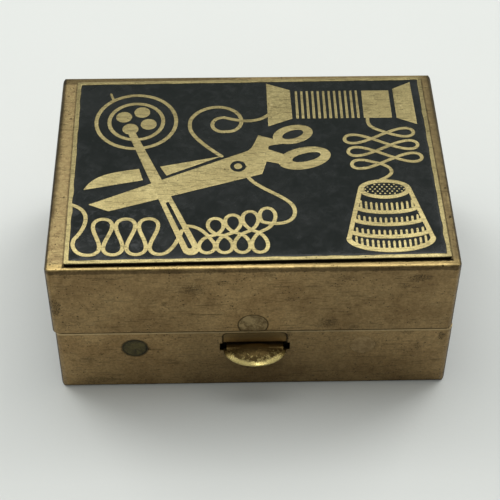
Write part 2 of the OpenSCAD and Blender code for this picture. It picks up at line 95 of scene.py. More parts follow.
class Surface:
    """A node material in millimetres of the rest frame, built by short calls."""

    def __init__(self, name):
        self.material = bpy.data.materials.new(name)
        self.material.use_nodes = True
        self.tree = self.material.node_tree
        self.shader = self.tree.nodes["Principled BSDF"]
        coords = self.node("ShaderNodeTexCoord")
        scale = self.node("ShaderNodeVectorMath", operation="SCALE")
        scale.inputs["Scale"].default_value = 1 / MM
        self.link(coords.outputs["Object"], scale.inputs[0])
        self.place = scale.outputs[0]
        split = self.node("ShaderNodeSeparateXYZ")
        self.link(self.place, split.inputs[0])
        self.x, self.y, self.z = split.outputs

    def node(self, kind, **settings):
        made = self.tree.nodes.new(kind)
        for key, value in settings.items():
            setattr(made, key, value)
        return made

    def link(self, out, into):
        if isinstance(out, (int, float)):
            into.default_value = out
        elif isinstance(out, tuple):
            into.default_value = (*out, 1) if len(out) == 3 else out
        else:
            self.tree.links.new(out, into)

    def set(self, socket, value):
        self.link(value, self.shader.inputs[socket])

    def math(self, operation, a, b=0.0):
        made = self.node("ShaderNodeMath", operation=operation)
        self.link(a, made.inputs[0])
        self.link(b, made.inputs[1])
        return made.outputs[0]

    def stretched(self, scale=(1, 1, 1), turn=(0, 0, 0), shift=(0, 0, 0)):
        made = self.node("ShaderNodeMapping")
        made.inputs["Location"].default_value = shift
        made.inputs["Rotation"].default_value = [math.radians(t) for t in turn]
        made.inputs["Scale"].default_value = scale
        self.link(self.place, made.inputs[0])
        return made.outputs[0]

    def noise(self, per_mm, detail=3.0, rough=0.55, warp=0.0, place=None):
        made = self.node("ShaderNodeTexNoise")
        made.inputs["Scale"].default_value = per_mm
        made.inputs["Detail"].default_value = detail
        made.inputs["Roughness"].default_value = rough
        made.inputs["Distortion"].default_value = warp
        self.link(place or self.place, made.inputs["Vector"])
        return made.outputs["Fac"]

    def cells(self, per_mm, place=None):
        """Distance to the nearest of scattered points, in cell widths."""
        made = self.node("ShaderNodeTexVoronoi")
        made.inputs["Scale"].default_value = per_mm
        self.link(place or self.place, made.inputs["Vector"])
        return made.outputs["Distance"], made.outputs["Color"]

    def step(self, value, low, high, out_low=0.0, out_high=1.0):
        """Smooth rise of value from low to high; falls where low > high."""
        made = self.node("ShaderNodeMapRange", interpolation_type="SMOOTHSTEP")
        if low > high:
            low, high, out_low, out_high = high, low, out_high, out_low
        self.link(value, made.inputs["Value"])
        sockets = ("From Min", "From Max", "To Min", "To Max")
        for socket, number in zip(sockets, (low, high, out_low, out_high)):
            made.inputs[socket].default_value = number
        return made.outputs[0]

    def blend(self, a, b, amount):
        made = self.node("ShaderNodeMix", data_type="RGBA")
        self.link(amount, made.inputs["Factor"])
        self.link(a, made.inputs[6])
        self.link(b, made.inputs[7])
        return made.outputs[2]

    def clouded(self, a, b, first, second, share, low=0.5, high=0.95):
        """a turning to b where first plus a share of second rises from low to high."""
        return self.blend(a, b, self.step(self.add(first, second, share), low, high))

    def tint(self, colour, amount, strength=1.0):
        """colour times a grey amount, mixed in by strength."""
        made = self.node("ShaderNodeMix", data_type="RGBA", blend_type="MULTIPLY")
        made.inputs["Factor"].default_value = strength
        self.link(colour, made.inputs[6])
        self.link(amount, made.inputs[7])
        return made.outputs[2]

    def less(self, a, b):
        return self.math("SUBTRACT", a, b)

    def opposite(self, value):
        return self.less(1.0, value)

    def absolute(self, value):
        return self.math("ABSOLUTE", value)

    def length(self, a, b):
        return self.math("SQRT", self.add(self.both(a, a), self.both(b, b)))

    def darken(self, colour, mask, strength=None):
        """colour made darker where the mask is 1, by strength."""
        if strength is not None:
            mask = self.both(mask, strength)
        return self.tint(colour, self.opposite(mask))

    def both(self, mask, *others):
        for other in others:
            mask = self.math("MULTIPLY", mask, other)
        return mask

    def most(self, a, b):
        return self.math("MAXIMUM", a, b)

    def add(self, a, b, share=1.0):
        if share != 1.0:
            b = self.both(b, share)
        return self.math("ADD", a, b)

    def band(self, value, low, high, soft):
        """1 between low and high, falling to 0 over soft on each side."""
        return self.both(self.step(value, low - soft, low), self.step(value, high + soft, high))

    def bumps(self, *layers):
        """Each layer is (height, depth in millimetres)."""
        normal = None
        for height, depth in layers:
            made = self.node("ShaderNodeBump")
            made.inputs["Distance"].default_value = depth * MM
            self.link(height, made.inputs["Height"])
            if normal is not None:
                self.link(normal, made.inputs["Normal"])
            normal = made.outputs["Normal"]
        self.link(normal, self.shader.inputs["Normal"])

    def facing_up(self):
        """How far the surface faces the lid's own up: 1 on its top."""
        geometry = self.node("ShaderNodeNewGeometry")
        transform = self.node("ShaderNodeVectorTransform", vector_type="NORMAL",
                              convert_from="WORLD", convert_to="OBJECT")
        self.link(geometry.outputs["True Normal"], transform.inputs[0])
        split = self.node("ShaderNodeSeparateXYZ")
        self.link(transform.outputs[0], split.inputs[0])
        return split.outputs[2]

    def hairs(self, seed, density, length=1.1):
        """Short fine marks in four directions; 1 on a mark."""
        marks = None
        for i, angle in enumerate((17, 71, 124, 163)):
            place = self.stretched((0.5 / length, 3.4, 3.4), (angle * 0.8, angle, angle + seed),
                                   (seed + 3 * i, seed, 0))
            mark = self.step(self.noise(1.0, 1.0, 0.4, 0.25, place), density, density + 0.03)
            marks = mark if marks is None else self.most(marks, mark)
        return marks

    def ring(self, across, up, radius, half_width):
        """1 on a circle in two directions, with soft sides."""
        distance = self.length(across, up)
        off = self.absolute(self.less(distance, radius))
        return self.step(off, half_width, half_width * 0.3)

    def blot(self, across, up, centre, reach, ragged):
        """A ragged spot round a centre; 1 inside."""
        a = self.math("DIVIDE", self.less(across, centre[0]), reach[0])
        b = self.math("DIVIDE", self.less(up, centre[1]), reach[1])
        distance = self.length(a, b)
        return self.step(self.add(distance, ragged), 1.25, 0.75)

    def pits(self, per_mm, size, share, seed=0.0):
        """Small round pits in a share of the cells; 1 in a pit."""
        place = self.stretched(shift=(seed, seed * 2, seed * 3))
        warp = self.noise(per_mm * 2.5, 2, 0.6, 0, place)
        distance, colour = self.cells(per_mm, place)
        split = self.node("ShaderNodeSeparateColor")
        self.link(colour, split.inputs[0])
        radius = self.both(self.step(split.outputs[1], 0, 1, 0.4, 1.0), size)
        shape = self.less(radius, self.add(distance, warp, 0.12))
        chosen = self.step(split.outputs[0], share, share - 0.02)
        return self.both(self.step(shape, -0.03, 0.05), chosen)


def metal(s, colour, rough, bumps, metallic=1.0):
    s.set("Metallic", metallic)
    s.set("Base Color", colour)
    s.set("Roughness", rough)
    s.bumps(*bumps)
    return s.material


def shell_brass(name, low, high, front_marks):
    """Old brass case: brown patina outside, rubbed top rim, pits, painted shade at the side edges
    and toward the bottom, and yellow brass inside.
    """
    s = Surface(name)
    cloud = s.noise(0.16, 4, 0.6, 0.4)
    mottle = s.noise(0.9, 4, 0.62, 0.3)
    fine = s.noise(3.0, 4, 0.68)
    grain = s.noise(7.0, 3, 0.6)
    tan = (0.312, 0.213, 0.096)
    brown = (0.235, 0.154, 0.067)
    pale = (0.355, 0.259, 0.125)
    colour = s.clouded(tan, brown, cloud, mottle, 0.45, 0.55, 0.92)
    colour = s.blend(colour, pale, s.both(s.step(mottle, 0.52, 0.75), s.step(cloud, 0.6, 0.42)))
    colour = s.tint(colour, s.step(fine, 0.28, 0.72, 0.77, 1.17))
    centre = ((low + high) / 2).to_tuple()
    half = ((high - low) / 2).to_tuple()
    near_x, near_y, near_z = [s.less(half[i], s.absolute(s.less(axis, centre[i])))
                              for i, axis in enumerate((s.x, s.y, s.z))]
    ragged = s.add(s.both(grain, 0.5), mottle, 0.7)
    # What faces up is rubbed to tan, and to gold along the front rim
    facing = s.facing_up()
    up = s.step(facing, 0.6, 0.92)
    top_tan = s.clouded((0.40, 0.305, 0.14), (0.27, 0.195, 0.092), mottle, fine, 0.5, 0.55, 0.95)
    colour = s.blend(colour, top_tan, up)
    front_rim = s.both(s.step(s.y, low.y + 1.5, low.y + 0.9), s.step(facing, 0.45, 0.8))
    rubbed = s.both(front_rim, s.step(ragged, 0.95, 0.45, 0.35, 0.95))
    gold = (0.53, 0.39, 0.16)
    colour = s.blend(colour, gold, rubbed)
    # Upright corners are a little worn, and painted shade darkens the outline and sides at the left
    # and right edges, more on the left
    wear_and_highlight = s.both(s.step(s.add(s.add(near_x, near_y), ragged), 1.35, 0.8), 0.4)
    wear_and_highlight_tan = (0.42, 0.32, 0.165)
    colour = s.blend(colour, wear_and_highlight_tan, wear_and_highlight)
    outline = s.both(s.step(near_x, 0.85, 0.28), s.step(s.x, -5, 5, 0.72, 0.32))
    colour = s.darken(colour, outline, s.step(facing, 0.12, 0.3))
    painted_side_shade = s.both(s.step(near_x, 0.34, 0.14), s.step(facing, 0.3, 0.1))
    colour = s.darken(colour, painted_side_shade, 0.85)
    # Pits, specks and hair marks
    pits = s.pits(1.0, 0.26, 0.22, 3)
    specks = s.both(s.pits(2.6, 0.34, 0.7, 11), s.step(s.noise(0.33, 3, 0.6), 0.42, 0.56))
    dark = s.most(pits, specks)
    marks = s.hairs(5, 0.69, 1.6)
    colour = s.darken(colour, dark, 0.62)
    colour = s.darken(colour, marks, 0.32)
    # Painted shade: the base darker toward the bottom, where it reflects the shadowed floor
    colour = s.tint(colour, s.step(s.z, 0.0, SEAM, 0.91, 1.0))
    # Inside faces kept their yellow
    inside = s.both(*[s.step(near, 0.45, 0.6) for near in (near_x, near_y, near_z)])
    inner = s.clouded((0.50, 0.39, 0.17), (0.30, 0.215, 0.085), cloud, mottle, 0.5)
    inner = s.darken(inner, dark, 0.5)
    colour = s.blend(colour, inner, inside)
    colour = front_marks(s, colour)
    rough = s.step(s.add(mottle, grain, 0.4), 0.4, 0.95, 0.34, 0.54)
    return metal(s, colour, rough, [(mottle, 0.045), (fine, 0.02), (grain, 0.010),
                                    (s.opposite(dark), 0.04), (s.opposite(marks), 0.006)])


def rivet_ring(s, colour, x, z, radius, strength):
    """Dark line round a flush rivet in the front."""
    half_line = 0.22
    ring = s.ring(s.less(s.x, x), s.less(s.z, z), radius, half_line)
    front = s.step(s.y, base_low.y + 0.5, base_low.y + 0.4)
    return s.darken(colour, s.both(ring, front), strength)


def base_front_marks(s, colour):
    """Pale line under the seam, partly wear and partly a painted highlight; painted shade in the
    middle, in the recess with some grime, along the foot and below the lip; the slot painted black
    as shade; dark lines round the rivets; and spots.
    """
    front = s.step(s.y, base_low.y + 0.6, base_low.y + 0.4)
    # Pale line under the seam: wear, and a painted highlight on the base's top edge
    wear_and_highlight = s.band(s.z, base_high.z - 0.26, base_high.z, 0.12)
    wear_and_highlight_tan = (0.46, 0.36, 0.20)
    colour = s.blend(colour, wear_and_highlight_tan, s.both(wear_and_highlight, front, 0.45))
    # Painted shade: darker in the middle, where the lip shades the front and shows in it, lighter
    # toward the ends
    colour = s.tint(colour, s.step(s.x, -13.5, -8.0, 1.16, 0.86))
    colour = s.tint(colour, s.step(s.x, 10.0, 18.0, 1.0, 1.14))
    # The recess above the slot, by the distance from its rounded rim: painted shade and the lip's
    # painted reflection with some grime, darker along its rim
    wavy = s.both(s.less(s.noise(1.4, 3, 0.6), 0.5), 0.5)
    across = s.absolute(s.add(s.less(s.x, CATCH_X), wavy, 0.5))
    past_side = s.most(s.less(across, RECESS_HALF_W - RECESS_CORNER_R), 0.0)
    past_top = s.most(s.less(s.z, RECESS_TOP - RECESS_CORNER_R), 0.0)
    rim = s.add(s.less(s.length(past_side, past_top), RECESS_CORNER_R), wavy, 0.25)
    above = s.step(s.z, SLOT_Z + 0.5, SLOT_Z + 0.8)
    recess = s.both(s.step(rim, 0.1, -0.1), above, front)
    edge = s.both(s.step(s.absolute(rim), 0.2, 0.05), above, front)
    red_brown = (0.20, 0.125, 0.045)
    dull_brown = (0.14, 0.095, 0.04)
    shade_and_grime = s.blend(red_brown, dull_brown, s.step(s.z, SLOT_Z + 1.3, SLOT_Z + 2.2))
    colour = s.blend(colour, shade_and_grime, s.both(recess, 0.92))
    colour = s.darken(colour, edge, 0.8)
    # Painted shade: dark along the foot and below the lip, and black in the slot
    colour = s.tint(colour, s.step(s.add(s.z, wavy, 0.4), 0.15, 0.7, 0.34, 1.0))
    below = s.both(s.step(across, 6.0, 3.2), s.band(s.z, SLOT_Z - 4.2, SLOT_Z, 1.8))
    colour = s.darken(colour, s.both(below, front), 0.22)
    colour = s.blend(colour, SLOT_SHADE_BLACK, in_slot(s))
    for x_rivet, strength in ((LEFT_RIVET_X, 0.5), (RIGHT_RIVET_X, 0.08)):
        colour = rivet_ring(s, colour, x_rivet, SLOT_Z, SPRING_RIVET_R, strength)
    return blots(s, colour, front, (
        ((5.1, 11.4), (0.5, 0.7), 0.6), ((27.3, 10.6), (0.45, 0.9), 0.7),
        ((22.4, 11.6), (0.9, 0.4), 0.4), ((24.0, 8.4), (0.6, 0.5), 0.45),
        ((-24.0, 6.2), (1.2, 0.7), 0.4), ((-22.0, 7.6), (0.3, 0.3), 0.6),
        ((-15.0, 8.6), (0.3, 0.3), 0.7), ((-23.0, 1.6), (2.4, 0.7), 0.35),
        ((17.6, 9.0), (0.7, 0.8), 0.35), ((15.5, 8.9), (0.42, 0.34), 0.85)))


def in_slot(s):
    """1 in the slot and on what can be seen through it."""
    across = s.absolute(s.less(s.x, CATCH_X))
    depth = s.band(s.y, base_low.y + 0.2, base_low.y + 2.0, 0.1)
    level = s.band(s.z, SLOT_Z - SLOT_HALF_H, SLOT_Z + SLOT_HALF_H, 0.1)
    return s.both(s.step(across, SLOT_HALF_W + 0.3, SLOT_HALF_W), depth, level)


def lid_front_marks(s, colour):
    """Painted shade under the front rim, a dark line round the stud, pitted patches, and the lid's
    top with a painted shadow along the plate and darker margins.
    """
    front = s.step(s.y, lid_low.y + 0.6, lid_low.y + 0.4)
    colour = s.tint(colour, s.step(s.x, 2.0, 12.0, 1.0, 0.88))
    colour = s.tint(colour, s.step(s.absolute(s.x), 3.0, 9.0, 1.08, 0.96))
    wavy = s.less(s.noise(1.6, 3, 0.65), 0.5)
    # Painted shade on the rounding under the front rim
    painted_shade_line = s.band(s.add(s.z, wavy, 0.7), lid_high.z - 0.72, lid_high.z - 0.35, 0.3)
    colour = s.darken(colour, s.both(painted_shade_line, front), 0.55)
    colour = rivet_ring(s, colour, 0.0, STUD_Z, STUD_R, 0.7)
    colour = plate_shadow_and_dark_margins(s, colour)
    return blots(s, colour, front, (
        ((-27.9, 17.9), (0.8, 1.6), 0.75), ((-8.2, 21.3), (1.6, 1.1), 0.5),
        ((2.2, 24.2), (0.9, 0.4), 0.6), ((-4.4, 22.6), (1.0, 0.5), 0.4),
        ((23.2, 23.2), (1.5, 0.7), 0.6), ((21.0, 21.6), (0.9, 0.5), 0.4),
        ((10.8, 14.0), (1.4, 1.0), 0.5), ((14.6, 12.9), (0.8, 0.4), 0.4),
        ((-6.0, 16.0), (1.3, 0.12), 0.5), ((-12.5, 18.4), (0.5, 0.4), 0.5),
        ((5.2, 19.0), (0.7, 0.4), 0.4), ((-20.0, 24.0), (2.0, 0.4), 0.35),
        ((12.6, 23.4), (1.2, 0.4), 0.35), ((-25.0, 14.6), (0.5, 0.4), 0.4)))


def plate_shadow_and_dark_margins(s, colour):
    """The lid's top: a painted shadow of the plate along its edge, and darker on the right and left
    and at the back.
    """
    up = s.step(s.facing_up(), 0.3, 0.6)
    turn = math.radians(PLATE_TURN)
    x = s.less(s.x, PLATE_CENTRE.x)
    y = s.less(s.y, PLATE_CENTRE.y)
    beside = s.less(s.absolute(s.add(x, y, turn)), PLATE_SIZE.x / 2)
    before = s.less(s.absolute(s.add(y, x, -turn)), PLATE_SIZE.y / 2)
    wavy = s.less(s.noise(1.3, 3, 0.6), 0.5)
    # Painted shadow of the raised plate along its edge, deepest in front and on the right
    painted_shade_line = s.step(s.add(s.most(beside, before), wavy, 0.3), 0.40, 0.16)
    strength = s.add(s.add(0.4, s.step(y, -18.6, -19.2), 0.5), s.step(x, 26.0, 27.0), 0.2)
    colour = s.darken(colour, s.both(painted_shade_line, up), strength)
    right = s.both(s.step(s.add(s.x, wavy, 0.5), 26.9, 28.5, 0.18, 0.52), s.step(beside, -0.1, 0.1))
    colour = s.darken(colour, s.both(right, up), s.step(x, 20, 21))
    left = s.both(s.step(s.add(s.x, wavy, 1.4), lid_low.x + 1.25, lid_low.x + 0.55),
                  s.band(y, -8.0, 13.0, 5.0))
    colour = s.darken(colour, s.both(left, up), 0.42)
    back = s.both(s.step(y, 18.9, 19.3), s.step(s.add(s.x, wavy, 8.0), 2.0, -5.0, 0.1, 0.52))
    return s.darken(colour, back, up)


def blots(s, colour, front, spots):
    """Ragged dark patches of specks on the front: ((x, z), (reach in x, in z), strength) each."""
    ragged = s.both(s.less(s.noise(2.2, 4, 0.7, 0.5), 0.5), 2.6)
    speckled = s.step(s.noise(4.5, 3, 0.7), 0.45, 0.58, 0.3, 1.0)
    for centre, reach, strength in spots:
        spot = s.both(s.blot(s.x, s.z, centre, reach, ragged), front, s.both(speckled, strength))
        colour = s.darken(colour, spot)
    return colour


def plate_brass():
    """Pale brass of the plate's lines and border, with dark specks and fine wear."""
    s = Surface("plate_brass")
    cloud = s.noise(0.22, 4, 0.6, 0.3)
    mottle = s.noise(1.6, 4, 0.65, 0.2)
    grain = s.noise(9.0, 2, 0.6)
    colour = s.clouded((0.47, 0.395, 0.185), (0.36, 0.295, 0.135), cloud, mottle, 0.5)
    pale = (0.56, 0.49, 0.27)
    colour = s.blend(colour, pale, s.both(s.step(mottle, 0.55, 0.8), s.step(cloud, 0.62, 0.4)))
    specks = s.both(s.pits(2.2, 0.30, 0.45, 7), s.step(s.noise(0.3, 2, 0.5), 0.38, 0.55))
    fine = s.noise(4.2, 3, 0.7)
    marks = s.hairs(23, 0.66)
    colour = s.tint(colour, s.step(fine, 0.30, 0.70, 0.78, 1.14))
    colour = s.darken(colour, specks, 0.72)
    colour = s.darken(colour, marks, 0.34)
    # Brighter toward the front
    colour = s.tint(colour, s.step(s.y, PLATE_CENTRE.y + 19, PLATE_CENTRE.y - 19, 0.93, 1.42))
    colour = s.tint(colour, s.step(s.x, PLATE_CENTRE.x + 24.9, PLATE_CENTRE.x + 26.2, 1.0, 0.72))
    colour = s.tint(colour, s.step(s.x, PLATE_CENTRE.x - 25.6, PLATE_CENTRE.x - 26.2, 1.0, 0.84))
    # Painted shade: the plate's outer edge and what lies below the enamel stay dark
    side = s.step(s.z, PLATE_TOP - 0.12, PLATE_TOP - 0.04)
    shade_and_grime = (0.018, 0.014, 0.009)
    colour = s.blend(shade_and_grime, colour, side)
    rough = s.step(s.add(mottle, grain, 0.5), 0.45, 1.0, 0.30, 0.50)
    return metal(s, colour, rough, [(mottle, 0.012), (grain, 0.006), (s.opposite(specks), 0.015),
                                    (s.opposite(marks), 0.003)])


def black_enamel():
    """Near-black enamel: soft ripple, greyish patches that are partly smudges and partly a painted
    reflection, and dust.
    """
    s = Surface("black_enamel")
    cloud = s.noise(0.12, 3, 0.55, 0.5)
    ripple = s.noise(0.55, 2, 0.5)
    dust = s.pits(2.2, 0.16, 0.10, 31)
    patch_noise = s.noise(0.9, 4, 0.6, 0.6)
    # Grey patches, partly smudges and partly a painted reflection, strongest at the lower left
    corner = s.both(s.step(s.x, PLATE_CENTRE.x - 6, PLATE_CENTRE.x - 18),
                    s.step(s.y, PLATE_CENTRE.y - 4, PLATE_CENTRE.y - 14))
    smudge_and_sheen = s.both(s.step(patch_noise, 0.46, 0.72), s.add(0.25, corner, 0.75))
    black = (0.0042, 0.0066, 0.0054)
    smudge_and_sheen_grey = (0.034, 0.037, 0.037)
    dust_grey = (0.16, 0.155, 0.13)
    colour = s.blend(black, smudge_and_sheen_grey, smudge_and_sheen)
    colour = s.blend(colour, dust_grey, s.both(dust, 0.4))
    s.set("Base Color", colour)
    s.set("Roughness", s.step(s.add(cloud, ripple, 0.5), 0.5, 1.0, 0.18, 0.32))
    s.set("IOR", 1.40)
    s.bumps((ripple, 0.03), (s.noise(4.0, 2, 0.5), 0.004), (dust, 0.01))
    return s.material


def inner_brass():
    """Unpolished brass of the hinge leaves, tongue and hook."""
    s = Surface("inner_brass")
    mottle = s.noise(1.1, 4, 0.6, 0.2)
    grain = s.noise(6.0, 3, 0.6)
    drawn = s.noise(1.0, 2, 0.5, 0, s.stretched((0.12, 5, 5)))
    colour = s.clouded((0.47, 0.36, 0.155), (0.23, 0.165, 0.07), mottle, drawn, 0.4)
    pits = s.pits(1.8, 0.22, 0.18, 17)
    colour = s.darken(colour, pits, 0.6)
    return metal(s, colour, s.step(mottle, 0.3, 0.7, 0.32, 0.5),
                 [(drawn, 0.008), (grain, 0.008), (pits, -0.015)])


def rivet_brass():
    """Flush brass fasteners, close to the case's patina, with filing marks."""
    s = Surface("rivet_brass")
    mottle = s.noise(1.3, 4, 0.62, 0.3)
    filed = s.noise(1.0, 2, 0.5, 0, s.stretched((0.5, 4, 6), (0, 35, 20)))
    colour = s.clouded((0.32, 0.228, 0.112), (0.215, 0.145, 0.068), mottle, filed, 0.4, 0.5, 0.9)
    pits = s.pits(1.7, 0.25, 0.2, 5)
    colour = s.darken(colour, pits, 0.7)
    # The stud in the lid's front is rubbed brighter, with dull patches
    stud = s.both(s.step(s.y, -10, -11), s.step(s.z, SEAM - 0.2, SEAM))
    patches = s.step(s.noise(0.9, 4, 0.7, 0.2), 0.40, 0.62)
    rubbed = s.blend((0.33, 0.25, 0.125), (0.125, 0.086, 0.04), patches)
    colour = s.blend(colour, rubbed, s.both(stud, 0.8))
    return metal(s, colour, s.step(mottle, 0.3, 0.7, 0.34, 0.52),
                 [(filed, 0.012), (mottle, 0.02), (pits, -0.02), (s.both(patches, stud), -0.03)])


def dark_rivet():
    """Replacement rivet of dark greenish iron."""
    s = Surface("dark_rivet")
    mottle = s.noise(1.4, 4, 0.65, 0.5)
    grain = s.noise(7.0, 3, 0.6)
    colour = s.blend((0.096, 0.079, 0.028), (0.043, 0.036, 0.015), s.step(mottle, 0.35, 0.65))
    colour = s.blend(colour, (0.12, 0.075, 0.03), s.step(s.noise(2.6, 3, 0.6), 0.6, 0.75))
    rim = s.ring(s.less(s.x, LEFT_RIVET_X), s.less(s.z, SLOT_Z), 1.75, 0.3)
    colour = s.darken(colour, rim, 0.5)
    return metal(s, colour, s.step(grain, 0.3, 0.7, 0.42, 0.62),
                 [(mottle, 0.05), (grain, 0.02)], metallic=0.75)


def pin_steel():
    """Drawn steel wire with some rust."""
    s = Surface("pin_steel")
    drawn = s.noise(1.0, 3, 0.6, 0, s.stretched((0.2, 9, 9)))
    rust = s.step(s.noise(1.5, 4, 0.6), 0.56, 0.7)
    colour = s.blend((0.36, 0.35, 0.32), (0.20, 0.19, 0.17), drawn)
    rust_brown = (0.13, 0.07, 0.03)
    colour = s.blend(colour, rust_brown, rust)
    return metal(s, colour, s.step(rust, 0, 1, 0.35, 0.7), [(drawn, 0.006), (rust, 0.01)])


def spring_bronze():
    """Rolled bronze strip, painted black as shade where it shows through the slot."""
    s = Surface("spring_bronze")
    drawn = s.noise(1.0, 2, 0.5, 0, s.stretched((0.08, 7, 7)))
    mottle = s.noise(1.0, 4, 0.6)
    colour = s.clouded((0.52, 0.36, 0.16), (0.27, 0.16, 0.065), mottle, drawn, 0.5)
    colour = s.blend(colour, (0.02, 0.015, 0.01), in_slot(s))
    return metal(s, colour, s.step(mottle, 0.3, 0.7, 0.26, 0.42), [(drawn, 0.006), (mottle, 0.01)])


def lip_brass():
    """Thumb lip: brown on top where grime lies, painted lighter toward the back, flecked with gold,
    and a painted highlight of bright gold along the rim.
    """
    s = Surface("lip_brass")
    mottle = s.noise(1.8, 4, 0.62, 0.3)
    grain = s.noise(8.0, 3, 0.6)
    half = (lip_high.x - lip_low.x) / 2
    out = base_low.y - lip_low.y
    across = s.math("DIVIDE", s.less(s.x, CATCH_X), half)
    forward = s.math("DIVIDE", s.less(base_low.y, s.y), out)
    ring = s.length(across, forward)
    wavy = s.both(s.less(mottle, 0.5), 0.22)
    # Painted highlight: bright gold along the lower rim
    rim = s.both(s.step(s.add(ring, wavy), 0.83, 0.90), s.step(forward, 0.22, 0.46))
    flecks = s.both(s.step(s.add(s.noise(2.2, 3, 0.65), ring, 0.35), 0.78, 0.88),
                    s.step(forward, 0.05, 0.3))
    gold = s.blend((1.0, 0.84, 0.36), (0.95, 0.74, 0.27), mottle)
    brown = s.blend((0.13, 0.088, 0.032), (0.078, 0.053, 0.020), s.step(mottle, 0.35, 0.65))
    # Painted light: the brown is lighter toward the back, against its shade
    brown = s.blend(brown, (0.19, 0.128, 0.048), s.step(forward, 0.36, 0.14))
    colour = s.blend(brown, gold, s.most(rim, s.both(flecks, 0.30)))
    marks = s.hairs(57, 0.66)
    colour = s.darken(colour, marks, 0.2)
    colour = s.tint(colour, s.step(s.add(ring, wavy, 0.1), 0.975, 1.0, 1.0, 0.7))
    rough = s.less(s.step(mottle, 0.3, 0.7, 0.32, 0.46), s.both(rim, 0.15))
    return metal(s, colour, rough, [(mottle, 0.02), (grain, 0.006)])


MATERIALS = {
    "design_plate": plate_brass(),
    "enamel_field": black_enamel(),
    "lid_shell": shell_brass("lid_brass", lid_low, lid_high, lid_front_marks),
    "base_shell": shell_brass("base_brass", base_low, base_high, base_front_marks),
    "thumb_lip": lip_brass(),
    "leaf_spring": spring_bronze(),
    "hinge_pin": pin_steel(),
    "left_spring_rivet": dark_rivet(),
}
for shared, node_names in (
        (inner_brass(), ("lid_hinge_leaf", "base_hinge_leaf", "catch_tongue", "catch_hook")),
        (rivet_brass(), ("lid_hinge_rivets", "base_hinge_rivets", "tongue_stud",
                         "right_spring_rivet"))):
    MATERIALS.update({node_name: shared for node_name in node_names})


# ---------------- meshes

SHARP_ANGLE = math.radians(35)
LEVEL = 0.9995
MERGE = 2e-7
NO_LENGTH = 1e-8


def place_object(name, data):
    made = bpy.data.objects.new(name, data)
    bpy.context.scene.collection.objects.link(made)
    return made


def object_from(work, name):
    mesh = bpy.data.meshes.new(name)
    work.to_mesh(mesh)
    work.free()
    return place_object(name, mesh)


def new_piece(name, vertices, faces, material, body, slot, *nodes):
    """A piece from points in millimetres; it rides on a body and replaces CAD nodes."""
    mesh = bpy.data.meshes.new(name)
    mesh.from_pydata([Vector(v) * MM for v in vertices], [], faces)
    finish_piece(place_object(name, mesh), material, body, slot, *nodes)


def finish_piece(made, material, body, slot, *nodes):
    """Clean mesh, material and shading; it rides on a body unless that is None."""
    work = bmesh.new()
    work.from_mesh(made.data)
    bmesh.ops.remove_doubles(work, verts=work.verts, dist=MERGE)
    bmesh.ops.dissolve_degenerate(work, edges=work.edges, dist=NO_LENGTH)
    bmesh.ops.recalc_face_normals(work, faces=work.faces)
    work.to_mesh(made.data)
    work.free()
    made.data.materials.clear()
    made.data.materials.append(material)
    shade_by_angle(made.data)
    if body:
        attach(made, body)
    if nodes:
        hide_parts(*nodes)


def shade_by_angle(mesh):
    """Smooth shading with sharp edges; faces that lie level stay flat."""
    mesh.shade_smooth()
    work = bmesh.new()
    work.from_mesh(mesh)
    for face in work.faces:
        face.smooth = abs(face.normal.z) < LEVEL
    for edge in work.edges:
        sharp = len(edge.link_faces) != 2 or edge.calc_face_angle(0) > SHARP_ANGLE
        edge.smooth = not sharp
    work.to_mesh(mesh)
    work.free()


# ---------------- design lines

THREAD = 0.60
BRAID = 0.58
HANK = 0.55
SHORT_LINE = 0.4
THIMBLE_SIDE = 0.68
THIMBLE_BAND = 0.73
THIMBLE_RIM = 0.8
TICK = 0.36
SPOOL_PITCH = 0.84
SPOOL_BAR = 0.39
DIMPLE_R = 0.145
TICK_HEIGHTS = (1.7, 1.15, 1.1, 1.4)
TICK_REACH = 0.84


def on_lid(point):
    """Place on the lid of a point of the design, which stays square with the case."""
    return point + PLATE_CENTRE - Vector((0, DESIGN_DROP))


def on_plate(point):
    """Place on the lid of a point of the plate, which is turned a little."""
    return Matrix.Rotation(math.radians(PLATE_TURN), 2) @ point + PLATE_CENTRE


def lerp(a, b, t):
    return Vector(a).lerp(Vector(b), t)


def arc(centre, rx, ry, start, end, steps, turn=0.0):
    spin = Matrix.Rotation(math.radians(turn), 2)
    angles = [math.radians(start + (end - start) * i / steps) for i in range(steps + 1)]
    return [Vector(centre) + spin @ Vector((rx * math.cos(a), ry * math.sin(a))) for a in angles]


def ellipse(centre, rx, ry, turn=0.0, steps=64):
    return arc(centre, rx, ry, 0, 360, steps, turn)[:-1]


def bezier(a, b, c, d, steps=20):
    a, b, c, d = map(Vector, (a, b, c, d))
    made = []
    for i in range(steps + 1):
        t = i / steps
        u = 1 - t
        made.append(a * u ** 3 + b * (3 * u * u * t) + c * (3 * u * t * t) + d * t ** 3)
    return made


def wave(start, pitch, bulge, height, rise, fold, first, last, step=6):
    """Wavy line whose lobes bulge (bulge > 0) or close into loops (bulge < 0).

    It is rounder where fold is above 1, and its crests climb by rise.
    """
    made = []
    for i in range(int((last - first) / step) + 1):
        a = math.radians(first + i * step)
        turns = a / (2 * math.pi)
        along = pitch * turns + bulge * math.sin(2 * a)
        up = height * math.copysign(abs(math.cos(a)) ** fold, math.cos(a))
        up += rise * turns * (1 + math.cos(a)) / 2
        made.append(Vector((start[0] + along, start[1] + up)))
    return made


THIMBLE_TOP = (18.7, -5.2)
NEEDLE_TIP = (-18.4, 8.3)
NEEDLE_END = (-9.1, -16.6)
HANK_TOP = (18.7, 7.6)
HANK_TURNS = 3


def on_needle(t):
    """Point on the needle's middle line, from its tip to its blunt end."""
    return lerp(NEEDLE_TIP, NEEDLE_END, t)


def on_hank(degrees):
    """Point on the hank: one loop in every turn, each a little lower."""
    a = math.radians(degrees)
    turns = degrees / 360
    along = 5.3 * math.sin(a) + 0.35 * turns
    up = -1.25 * math.sin(2 * a) - 2.75 * turns
    return Vector(HANK_TOP) + Vector((along, up))


